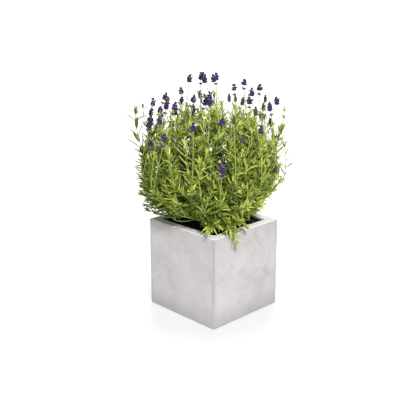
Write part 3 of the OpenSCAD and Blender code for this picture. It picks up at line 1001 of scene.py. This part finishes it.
def leaf(b, p, d, up, L, W, bend, age_and_light, rnd, twist=0.0):
    """One blade: folded along its rib, tapered at both ends, curved by bend towards up, about 0.5 mm thick."""
    d = unit(d)
    for k in range(6):
        s = unit(np.cross(d, up))
        nrm = np.cross(s, d)
        mid = p + L * 0.6 * d + nrm * bend * L * 0.36
        end = p + L * d + nrm * bend * L
        if not (in_concrete(mid) or in_concrete(end)):
            break
        d = unit(d + np.array([0, 0, 0.28]))
    else:
        return
    if np.any(end < LIM[0]) or np.any(end > LIM[1]) or too_low(end):
        return
    verts, at = [], []
    for t, w in zip(LEAF_T, LEAF_W):
        c = p + L * t * d + nrm * bend * L * t * t
        tn = unit(d + nrm * 2 * bend * t)
        sn = s * math.cos(twist * t) + nrm * math.sin(twist * t)
        nn = np.cross(sn, tn)
        h = W * w / 2
        verts += [c - sn * h + nn * h * 0.30, c + nn * 0.10, c + sn * h + nn * h * 0.30, c - nn * 0.42]
        at += [(t, rnd, age_and_light, 1.0), (t, rnd, age_and_light, 0.0), (t, rnd, age_and_light, 1.0), (t, rnd, age_and_light, 0.0)]
    verts += [p, end]
    at += [(0, rnd, age_and_light, 0.3), (1, rnd, age_and_light, 0.5)]
    b.add(verts, LEAF_Q, LEAF_TRI, at)


def leafy(b, s, pts, start, big, painted_light, rng, step0=11.0, step1=6.5, tufts=0.5, stop=1.0, wide=1.0):
    """Leaf pairs up a stem, each pair square to the last, with small tufts in the lower axils and a tight tip."""
    seg = np.linalg.norm(np.diff(pts, axis=0), axis=1)
    run = np.concatenate([[0], np.cumsum(seg)])
    total = run[-1]
    pos = total * start
    phase = rng.uniform(0, math.pi)
    while pos < total * stop - 1.0:
        f = pos / total
        k = max(min(np.searchsorted(run, pos) - 1, len(pts) - 2), 0)
        u = (pos - run[k]) / max(seg[k], 1e-6)
        p = pts[k] + (pts[k + 1] - pts[k]) * u
        ax = unit(pts[k + 1] - pts[k])
        e1, e2 = sides(ax)
        size = big * (0.74 + 0.40 * math.sin(math.pi * min(f * 1.05, 1) ** 0.9)) if f < 0.86 else big * (0.82 - 1.7 * (f - 0.86))
        open_ = math.radians(64 - 28 * f + rng.uniform(-17, 17))
        for side in (0, math.pi):
            if rng.random() < 0.06:
                continue
            a = phase + side + rng.uniform(-0.3, 0.3)
            out = math.cos(a) * e1 + math.sin(a) * e2
            d = unit(ax * math.cos(open_) + out * math.sin(open_))
            L = size * rng.uniform(0.78, 1.18)
            # the leaf colour value: age along the shoot scaled by painted light, with a random spread
            age_and_light = np.clip(painted_light * (0.25 + 0.75 * f) + rng.uniform(-0.27, 0.27), 0, 1)
            leaf(b, p + out * s * 0.7, d, ax, L, (L * 0.130 + 1.10) * wide * rng.uniform(0.85, 1.2), rng.uniform(-0.40, 0.32), age_and_light, rng.random(), rng.uniform(-0.8, 0.8))
            if f < 0.8 and rng.random() < tufts:
                for q in range(int(rng.integers(2, 4))):
                    a2 = a + rng.uniform(-0.9, 0.9)
                    o2 = math.cos(a2) * e1 + math.sin(a2) * e2
                    op = math.radians(rng.uniform(14, 50))
                    d2 = unit(ax * math.cos(op) + o2 * math.sin(op))
                    leaf(b, p + o2 * s * 0.7, d2, ax, size * rng.uniform(0.34, 0.62), 2.1 * wide * rng.uniform(0.8, 1.2), rng.uniform(-0.1, 0.25),
                         np.clip(age_and_light + 0.12, 0, 1), rng.random())
        phase += math.pi / 2 + rng.uniform(-0.25, 0.25)
        pos += (step0 + (step1 - step0) * f) * rng.uniform(0.82, 1.18)
    if stop < 1:
        return
    # closed bundle of young leaves at the tip
    ax = unit(pts[-1] - pts[-2])
    e1, e2 = sides(ax)
    for q in range(6):
        a = q * math.pi / 3 + phase
        out = math.cos(a) * e1 + math.sin(a) * e2
        op = math.radians(rng.uniform(8, 34))
        leaf(b, pts[-1] - ax * rng.uniform(0, 4), unit(ax * math.cos(op) + out * math.sin(op)), ax, big * rng.uniform(0.35, 0.66), 2.4 * wide,
             rng.uniform(-0.05, 0.2), np.clip(painted_light + 0.1, 0, 1), rng.random())


HEART = np.array([-9.0, -9.0, 228.0])


def outline(way):
    """How far the bush reaches from its heart in a direction: a flat-topped barrel, fuller on the left low down."""
    way = unit(way)
    rh = math.hypot(way[0], way[1])
    right_low = max(0.0, (way[0] + way[1]) * 0.7071) * (1 - smooth(0.15, 0.5, way[2]))
    wide = 150.0 * (1 - 0.22 * right_low)
    tall = 228.0
    n = 3.4
    return 1 / ((rh / wide) ** n + (max(way[2], 0.0) / tall) ** n) ** (1 / n)


def light_side(p):
    """How much painted light a place in the bush gets, for its leaf colours: more outside, on top and on the right,
    less on the left and within, with painted shade low at the front-left.
    """
    c = p - HEART
    r = np.linalg.norm(c) / outline(c if np.linalg.norm(c) > 1 else [0, 0, 1.0])
    toward = np.dot(unit(c), unit([0.8, -0.1, 0.55]))
    ahead = (p[0] - p[1]) * 0.7071
    right = (p[0] + p[1]) * 0.7071
    low_front_shade = smooth(0, 60, ahead) * (1 - smooth(225, 300, p[2])) * (1 - smooth(10, 70, right))
    return float(np.clip(-0.06 + 0.86 * smooth(0.54, 1.0, r) + 0.26 * toward, 0.0, 1) * (1 - 0.78 * low_front_shade))


def make_plant(rng):
    leaves = {s: Build() for s in ["centre"] + SECTORS}
    stems = {s: Build() for s in ["centre"] + SECTORS}
    up = np.array([0, 0, 1.0])
    mains = []
    for i in range(SHOOTS):
        sec = sector_of(i)
        lb, sb = leaves[sec], stems[sec]
        p0, p3 = root_at(i), arched_tip(i)
        L = np.linalg.norm(p3 - p0)
        d = unit(p3 - p0)
        tilt = math.degrees(tilt_of(i))
        start = p0 - d * 4 - up * 3
        if tilt > 64:
            p1 = p0 + (unit(d + up * 0.34)) * L * 0.36
            p2 = p3 - (unit(d + up * 0.16)) * L * 0.30
        else:
            p1 = p0 + (unit(d - up * 0.10 * (tilt > 20))) * L * 0.34 + rng.uniform(-3, 3, 3)
            p2 = p3 - (unit(d + up * 0.38)) * L * 0.34 + rng.uniform(-3, 3, 3)
        pts = bezier(start, p1, p2, p3, 15)
        mains.append((i, sec, pts))
        # painted light for this shoot's leaves, from where its tip sits in the bush
        painted_light = light_side(p3)
        rnd = rng.random()
        m = len(pts)
        tube(sb, pts, np.linspace(1.9, 0.85, m), 6, attrs=[(0.12 + 0.75 * k / m, rnd, 0, 0) for k in range(m)])
        leafy(lb, 1.0, pts, 0.36 if tilt < 60 else 0.46, 25.0, painted_light, rng)
    # side shoots rise from the main ones and fill the bush out to its outline
    spots = []
    n_out, n_in = 215, 70
    for k in range(n_out):
        cz = 1.0 - 0.97 * (k + 0.5) / n_out
        a = math.radians(137.508 * k + 40) + rng.uniform(-0.12, 0.12)
        w = np.array([math.sqrt(1 - cz * cz) * math.cos(a), math.sqrt(1 - cz * cz) * math.sin(a), cz])
        spots.append(HEART + w * outline(w) * rng.uniform(0.84, 1.0))
    for k in range(n_in):
        cz = 1.0 - 0.85 * (k + 0.5) / n_in
        a = math.radians(137.508 * k + 7)
        w = np.array([math.sqrt(1 - cz * cz) * math.cos(a), math.sqrt(1 - cz * cz) * math.sin(a), cz])
        spots.append(HEART + w * outline(w) * rng.uniform(0.45, 0.80))
    # the crown is fuller high up on the right
    for k in range(22):
        a = math.radians(45 + 118 * (frac(k * 0.618) - 0.5))
        el = math.radians(34 + 36 * frac(k * 0.755 + 0.3))
        w = np.array([math.cos(el) * math.cos(a), math.cos(el) * math.sin(a), math.sin(el)])
        spots.append(HEART + w * outline(w) * (0.84 + 0.15 * frac(k * 0.41)))
    used = np.zeros(SHOOTS)
    for k, T in enumerate(spots):
        best = None
        for i, sec, pts in mains:
            for j in range(3, len(pts) - 1):
                q = pts[j]
                v = T - q
                ln = np.linalg.norm(v)
                if ln < 45 or ln > 190:
                    continue
                rise = v[2] / ln
                cost = abs(ln - 95) / 95 + max(0, 0.55 - rise) * 2.2 + used[i] * 0.16 + rng.uniform(0, 0.12)
                if best is None or cost < best[0]:
                    best = (cost, i, sec, j)
        if best is None:
            continue
        c, i, sec, j = best
        used[i] += 1
        pts = mains[i][2]
        q = pts[j]
        ax = unit(pts[j + 1] - pts[j])
        v = T - q
        ln = np.linalg.norm(v)
        if T[2] < TOP + 26 and max(abs(T[0]), abs(T[1])) < SIDE / 2 + 14:
            T = T + [0, 0, TOP + 26 - T[2]]
            v = T - q
        k1 = q + unit(ax * 0.8 + unit(v) * 0.5) * ln * 0.33
        k2 = T - unit(unit(v) + up * 0.55 + rng.uniform(-0.25, 0.25, 3)) * ln * 0.36
        kp = bezier(q, k1, k2, T, 9)
        # painted light for this side shoot's leaves
        kid_light = light_side(T)
        rnd = rng.random()
        tube(stems[sec], kp, np.linspace(1.15, 0.6, 9), 5, attrs=[(0.45 + 0.5 * s / 9, rnd, 0, 0) for s in range(9)])
        leafy(leaves[sec], 0.8, kp, 0.22, 24.0 * rng.uniform(0.85, 1.12), kid_light, rng, 10.5, 6.5, 0.38, wide=rng.uniform(0.85, 1.15))
    RIM_FREE["on"] = True
    for r0, z0, r1, z1, depth, sec, big in (
            (-112, 250, -166, 432, 4, "front_left", 34.0), (-100, 246, -156, 350, 30, "left", 27.0), (-88, 240, -150, 292, 40, "left", 25.0),
            (92, 280, 138, 392, 6, "rear_right", 27.0), (80, 300, 146, 440, -14, "right", 22.0), (-70, 330, -148, 446, -20, "front_left", 20.0)):
        rt, fr = np.array([0.698, 0.716, 0]), np.array([-0.716, 0.698, 0])
        a, c = rt * r0 + fr * depth + [0, 0, z0], rt * r1 + fr * depth + [0, 0, z1]
        root = rt * r0 * 0.45 + fr * depth * 0.6 + np.array([0, 0, z0 - 46.0])
        kp = bezier(root, a, c - np.array([0, 0, 1.0]) * (z1 - z0) * 0.45 + rt * np.sign(r1) * 5, c, 14)
        rnd = rng.random()
        tube(stems[sec], kp, np.linspace(1.4, 0.7, 14), 6, attrs=[(0.45 + 0.5 * s / 14, rnd, 0, 0) for s in range(14)])
        # painted light set per sprig: darker on the left, lighter on the right
        leafy(leaves[sec], 0.9, kp, 0.33 if r1 < 0 else 0.46, big, 0.34 if r1 < 0 else 0.85, rng, 14.0, 15.0, 0.12, wide=1.25)
    # sprigs that lean over the front rim and hang a little
    RIM_FREE["on"] = True
    for (x, y, z, dx, dy, dz, sec) in (
            (84, -62, 222, 112, -56, 190, "front_right"), (92, -30, 224, 116, -26, 205, "front_right"), (70, -80, 218, 94, -108, 208, "front_right"),
            (60, -52, 214, 86, -70, 208, "front_right"), (74, -30, 216, 98, -40, 210, "front_right"), (56, -66, 212, 74, -84, 206, "front_right"),
            (80, -52, 218, 108, -62, 200, "front_right"), (86, -50, 216, 118, -52, 176, "front_right"), (82, -40, 220, 106, -36, 212, "front_right"), (68, -64, 222, 96, -84, 216, "front_right"),
            (70, -46, 230, 104, -50, 226, "front_right"), (60, -60, 228, 88, -88, 224, "front_right")):
        p0 = np.array([x * 0.42, y * 0.42, TOP + 6.0])
        kp = bezier(p0, np.array([x * 0.7, y * 0.7, z + 6.0]), np.array([x, y, z + 16.0]), np.array([dx, dy, dz + 12.0]), 12)
        rnd = rng.random()
        tube(stems[sec], kp, np.linspace(1.3, 0.6, 12), 5, attrs=[(0.4 + 0.5 * s / 12, rnd, 0, 0) for s in range(12)])
        # painted light: these front-right sprigs' leaves lighter
        leafy(leaves[sec], 0.8, kp, 0.30, 24.0, 0.85, rng, 9.0, 5.5, 0.3)
    RIM_FREE["on"] = False
    for s in ["centre"] + SECTORS:
        leaf_ob = leaves[s].make("leaves_" + s, LEAF)
        stem_ob = stems[s].make("stems_" + s, STEM)
        finish_piece(leaf_ob, "planting", "leaves", "shoots_" + s)
        finish_piece(stem_ob, "planting", "stalks", "shoots_" + s)


CAL_T = np.array([0.0, 0.22, 0.55, 0.85, 1.0])
CAL_R = np.array([0.42, 0.82, 1.0, 0.86, 0.50])


def calyx(b, p, d, L, R, rnd, bud, n=6):
    d = unit(d)
    u, w = sides(d)
    a = np.arange(n) * 2 * math.pi / n + rnd * 6
    verts, at = [], []
    for t, r in zip(CAL_T, CAL_R):
        verts.append(p + d * L * t + R * r * (np.cos(a)[:, None] * u + np.sin(a)[:, None] * w))
        at += [(t, rnd, bud, 0)] * n
    verts = np.concatenate(verts + [np.array([p - d * 0.2]), np.array([p + d * L * 1.04])])
    at += [(0, rnd, bud, 0), (1, rnd, bud, 0)]
    m = len(CAL_T)
    q = [[i * n + j, i * n + (j + 1) % n, (i + 1) * n + (j + 1) % n, (i + 1) * n + j] for i in range(m - 1) for j in range(n)]
    t = [[m * n, (j + 1) % n, j] for j in range(n)] + [[m * n + 1, (m - 1) * n + j, (m - 1) * n + (j + 1) % n] for j in range(n)]
    b.add(verts, q, t, at)


def corolla(b, p, d, r, rnd):
    """A small open flower: five rounded lobes round a throat."""
    d = unit(d)
    u, w = sides(d)
    n = 15
    a = np.arange(n) * 2 * math.pi / n + rnd * 6
    lobe = 0.66 + 0.34 * np.abs(np.sin(a * 2.5 - rnd * 15))
    rim = p + d * 0.9 * r + r * lobe[:, None] * (np.cos(a)[:, None] * u + np.sin(a)[:, None] * w)
    inner = p + d * 0.55 * r + 0.3 * r * (np.cos(a)[:, None] * u + np.sin(a)[:, None] * w)
    back = p + d * 0.55 * r + r * (lobe * 0.96)[:, None] * (np.cos(a)[:, None] * u + np.sin(a)[:, None] * w)
    verts = np.concatenate([inner, rim, back, [p + d * 0.35 * r], [p - d * 0.5 * r]])
    at = [(0.1, rnd, 0, 0)] * n + [(1, rnd, 0, 0)] * (2 * n) + [(0, rnd, 0, 0)] * 2
    q = [[j, (j + 1) % n, n + (j + 1) % n, n + j] for j in range(n)] + [[n + j, n + (j + 1) % n, 2 * n + (j + 1) % n, 2 * n + j] for j in range(n)]
    q = [[x[3], x[2], x[1], x[0]] for x in q]
    t = [[3 * n, j, (j + 1) % n] for j in range(n)] + [[3 * n + 1, 2 * n + (j + 1) % n, 2 * n + j] for j in range(n)]
    b.add(verts, q, t, at)


def make_flowers(rng):
    st, fl, co = Build(), Build(), Build()
    lv = Build()
    for j, (i, a, h) in enumerate(head_list()):
        lift = arched_tip(i) - tip_at(i)
        if share(i) >= 0.65:
            h = h + lift * [1, 1, 0.3]
        d = unit(h - a)
        long = 20 + 12 * wave2(j)
        left = -(h[0] + h[1]) * 0.7071
        if left > 12:
            long = min(long * 1.12 + 2, max(522 - h[2], 20))
        L = np.linalg.norm(h - a)
        bow = rng.uniform(-1, 1, 3) * min(L * 0.05, 5.0)
        # start inside the shoot, along its own line, then up
        ax = unit(tip_at(i) - root_at(i))
        p0 = a - ax * 3
        p1 = a + ax * L * 0.16 + bow
        p2 = h - d * L * 0.4 + bow * 0.6
        p0, p1 = p0 + lift, p1 + lift
        pts = bezier(p0, p1, p2, h, 12)
        d = unit(h - pts[-2] + d * 0.01)
        tilt = unit(d + rng.uniform(-0.16, 0.16, 3))
        full = np.concatenate([pts, [h + tilt * long * 0.45, h + tilt * long * 0.88]])
        rnd = rng.random()
        kind = rng.random()
        young = kind < (0.08 if left > 12 else 0.42)
        tube(st, full, np.concatenate([np.linspace(0.95, 0.70, 12), [0.6, 0.45]]), 6, attrs=[(0.72 + 0.2 * k / 14, rnd, 0, 0) for k in range(14)])
        # leaf pairs up the stalk, smaller towards the flowers
        # painted light for the stalk's leaves, at least 0.45
        painted_light = light_side(pts[5])
        leafy(lv, 0.7, pts, 0.03, 21.0, max(painted_light, 0.45), rng, 13.0, 19.0, 0.25, 0.74 if L > 60 else 0.5, 0.9)
        slim = rng.uniform(0.80, 1.0) * (1.0 if left > 12 else 1.04)
        e1, e2 = sides(tilt)
        if i % 3 == 0 and share(i) >= 0.65 and (h[0] + h[1]) > 60:
            young, kind = True, 0.1
        gap = 2.9 if young else 3.8
        levels = []
        if kind > 0.62:
            # a separate lower ring of flowers, then the main head
            levels.append((-1.0, 0.62))
            z = 8.2
        else:
            z = 1.5
        top = min(long - 1.5, 14.0) if young else long - 1.5
        if kind > 0.45 and not young:
            top = min(top, z + 3.2 * gap)
        n = 0
        while z < top:
            f = z / max(top, 1)
            levels.append((z, 0.86 + 0.22 * math.sin(math.pi * min(f * 0.95 + 0.15, 1)) - 0.30 * max(f - 0.75, 0) / 0.25))
            z += gap * rng.uniform(0.9, 1.12)
        for wq, (z, env) in enumerate(levels):
            base = h + tilt * z
            last = wq == len(levels) - 1
            n = 8 if not last else 6
            ph = wq * 0.42 + rng.uniform(-0.2, 0.2)
            for c in range(n):
                if rng.random() < 0.07:
                    continue
                aa = ph + c * 2 * math.pi / n + rng.uniform(-0.16, 0.16)
                o = math.cos(aa) * e1 + math.sin(aa) * e2
                el = math.radians(rng.uniform(20, 44) + (26 if last else 0) + (20 if young else 0))
                dd = o * math.cos(el) + tilt * math.sin(el)
                bud = min(1.0, (0.85 if young else 0.0) + max(rng.uniform(-1.1, 0.35), 0))
                cl = (4.4 if young else 5.7) * env * slim * rng.uniform(0.85, 1.15)
                calyx(fl, base + o * 0.8, dd, cl, (1.5 if young else 1.85) * slim * (0.8 + 0.2 * env), rng.random(), bud)
                if not young and rng.random() < 0.11:
                    corolla(co, base + o * 0.8 + dd * cl, dd, rng.uniform(1.6, 2.3), rng.random())
        z = levels[-1][0] + 1.2
        for c in range(4):
            aa = c * 1.57 + rnd
            o = math.cos(aa) * e1 + math.sin(aa) * e2
            calyx(fl, h + tilt * z, unit(tilt + o * 0.45), 4.4 * slim, 1.35 * slim, rng.random(), 0.8 if young else 0.1)
    finish_piece(st.make("flower_stems", STEM), "planting", "stalks", "flower_stalks")
    finish_piece(lv.make("stalk_leaves", LEAF), "planting", "leaves", "flower_stalks")
    finish_piece(fl.make("flower_spikes", FLOWER), "planting", "flowers", "flower_heads")
    finish_piece(co.make("open_florets", COROLLA), "planting", "flowers", "flower_heads")


def make_crown(rng):
    b = Build()
    lo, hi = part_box("woody_crown")
    z0 = lo[2] / MM
    n = 56
    prof = [(4, z0), (11, z0 + 2), (15, z0 + 8), (15, SOIL_TOP - 4), (22, SOIL_TOP - 2), (25, SOIL_TOP + 1.5), (20, SOIL_TOP + 4.5), (12, SOIL_TOP + 6.5), (4, SOIL_TOP + 7.5)]
    v = []
    for r, z in prof:
        for a in np.arange(n) * 2 * math.pi / n:
            p = Vector((math.cos(a) * r, math.sin(a) * r, z)) * 0.09
            k = r * (1 + 0.22 * noise.noise(p) + 0.10 * noise.noise(p * 3.3))
            v.append((k * math.cos(a), k * math.sin(a), z + 1.6 * noise.noise(p * 1.7 + Vector((9, 2, 4)))))
    m = len(prof)
    v += [(0, 0, z0 - 0.0), (0, 0, SOIL_TOP + 8)]
    q = [[i * n + j, i * n + (j + 1) % n, (i + 1) * n + (j + 1) % n, (i + 1) * n + j] for i in range(m - 1) for j in range(n)]
    t = [[m * n, (j + 1) % n, j] for j in range(n)] + [[m * n + 1, (m - 1) * n + j, (m - 1) * n + (j + 1) % n] for j in range(n)]
    b.add(v, q, t)
    # short gnarled limbs, each reaching to the foot of one shoot
    for i in range(4, SHOOTS):
        p3 = root_at(i)
        o = unit([p3[0], p3[1], 0])
        p0 = o * 8 + np.array([0, 0, SOIL_TOP + 1.0])
        d = unit(tip_at(i) - p3)
        p1 = p0 + o * 6 + rng.uniform(-2, 2, 3) + [0, 0, 2]
        pts = bezier(p0, p1, p3 - d * 5 + [0, 0, -1], p3 + d * 3, 8)
        rad = np.linspace(3.2, 2.0, 8) * (1 + 0.12 * rng.standard_normal(8))
        tube(b, pts, rad, 8)
    finish_piece(b.make("crown_wood", BARK), "planting", "bark", "woody_crown")


# ---------------------------------------------------------------- build everything
concrete = make_concrete()
make_feet()
make_liner()
make_soil(np.random.default_rng(11))
dress_fleece()
make_pebbles(np.random.default_rng(13))
make_root_ball(np.random.default_rng(14))
make_crown(np.random.default_rng(15))
make_plant(np.random.default_rng(16))
make_flowers(np.random.default_rng(17))


# ---------------------------------------------------------------- floor, light and camera
def make_stage():
    me = bpy.data.meshes.new("studio_floor")
    s = 30.0
    me.from_pydata([(-s, -s, 0), (s, -s, 0), (s, s, 0), (-s, s, 0)], [], [(0, 1, 2, 3)])
    fl = bpy.data.objects.new("studio_floor", me)
    bpy.context.scene.collection.objects.link(fl)
    m, nt, p = material("pale_floor", 0.20, 0.6)
    p.inputs["Base Color"].default_value = (0.14, 0.14, 0.14, 1)
    p.inputs["Emission Color"].default_value = (1, 1, 1, 1)
    n = Nodes(nt)
    # the floor glows, dimmer within about 0.13 to 0.31 m of its middle: a painted soft shadow round the object
    away = n.new("ShaderNodeVectorMath", operation="LENGTH")
    n.link(n.coords(), away.inputs[0])
    shadow_pool_glow = n.new("ShaderNodeMapRange", interpolation_type="SMOOTHSTEP")
    shadow_pool_glow.inputs["From Min"].default_value, shadow_pool_glow.inputs["From Max"].default_value = 0.13, 0.31
    shadow_pool_glow.inputs["To Min"].default_value, shadow_pool_glow.inputs["To Max"].default_value = 0.715, 0.96
    n.link(away.outputs["Value"], shadow_pool_glow.inputs["Value"])
    n.link(shadow_pool_glow.outputs["Result"], p.inputs["Emission Strength"])
    me.materials.append(m)
    w = bpy.data.worlds.new("studio")
    bpy.context.scene.world = w
    w.use_nodes = True
    nt = w.node_tree
    bg = nt.nodes["Background"]
    bg.inputs["Color"].default_value = (1, 1, 1, 1)
    bg.inputs["Strength"].default_value = 0.22
    white = nt.nodes.new("ShaderNodeBackground")
    white.inputs["Color"].default_value = (1, 1, 1, 1)
    white.inputs["Strength"].default_value = 1.05
    lp = nt.nodes.new("ShaderNodeLightPath")
    mx = nt.nodes.new("ShaderNodeMixShader")
    either = nt.nodes.new("ShaderNodeMath")
    either.operation = "MAXIMUM"
    nt.links.new(lp.outputs["Is Camera Ray"], either.inputs[0])
    nt.links.new(lp.outputs["Is Glossy Ray"], either.inputs[1])
    nt.links.new(either.outputs[0], mx.inputs[0])
    nt.links.new(bg.outputs[0], mx.inputs[1])
    nt.links.new(white.outputs[0], mx.inputs[2])
    nt.links.new(mx.outputs[0], nt.nodes["World Output"].inputs["Surface"])


def area(name, where, at, size, power, color=(1, 1, 1)):
    ld = bpy.data.lights.new(name, "AREA")
    ld.shape = "DISK"
    ld.size = size
    ld.energy = power
    ld.color = color
    ob = bpy.data.objects.new(name, ld)
    ob.location = where
    ob.rotation_mode = "QUATERNION"
    ob.rotation_quaternion = (Vector(at) - Vector(where)).to_track_quat("-Z", "Y")
    bpy.context.scene.collection.objects.link(ob)


make_stage()
area("key_softbox", (1.78, -1.16, 1.75), (0, 0, 0.28), 0.46, 88, (1.0, 0.985, 0.965))
area("left_fill", (-0.35, -2.0, 1.0), (0, 0, 0.2), 1.2, 6.5, (0.98, 0.98, 1.0))
area("rear_softbox", (-0.6, 1.9, 1.6), (0, 0, 0.32), 1.2, 22, (1.0, 1.0, 0.97))

cam_data = bpy.data.cameras.new("camera")
cam = bpy.data.objects.new("camera", cam_data)
bpy.context.scene.collection.objects.link(cam)
az, el, dist = math.radians(45.744), math.radians(15.977), 1.5389
back = Vector((math.sin(az) * math.cos(el), -math.cos(az) * math.cos(el), math.sin(el)))
right = Vector((math.cos(az), math.sin(az), 0))
target = right * -0.03008 + Vector((0, 0, 0.24258))
cam.location = target + back * dist
cam.rotation_mode = "QUATERNION"
cam.rotation_quaternion = (-back).to_track_quat("-Z", "Y")
cam_data.sensor_width = 36
cam_data.lens = 63.618
cam_data.clip_start, cam_data.clip_end = 0.05, 100
bpy.context.scene.camera = cam
bpy.context.scene.view_settings.view_transform = "Standard"
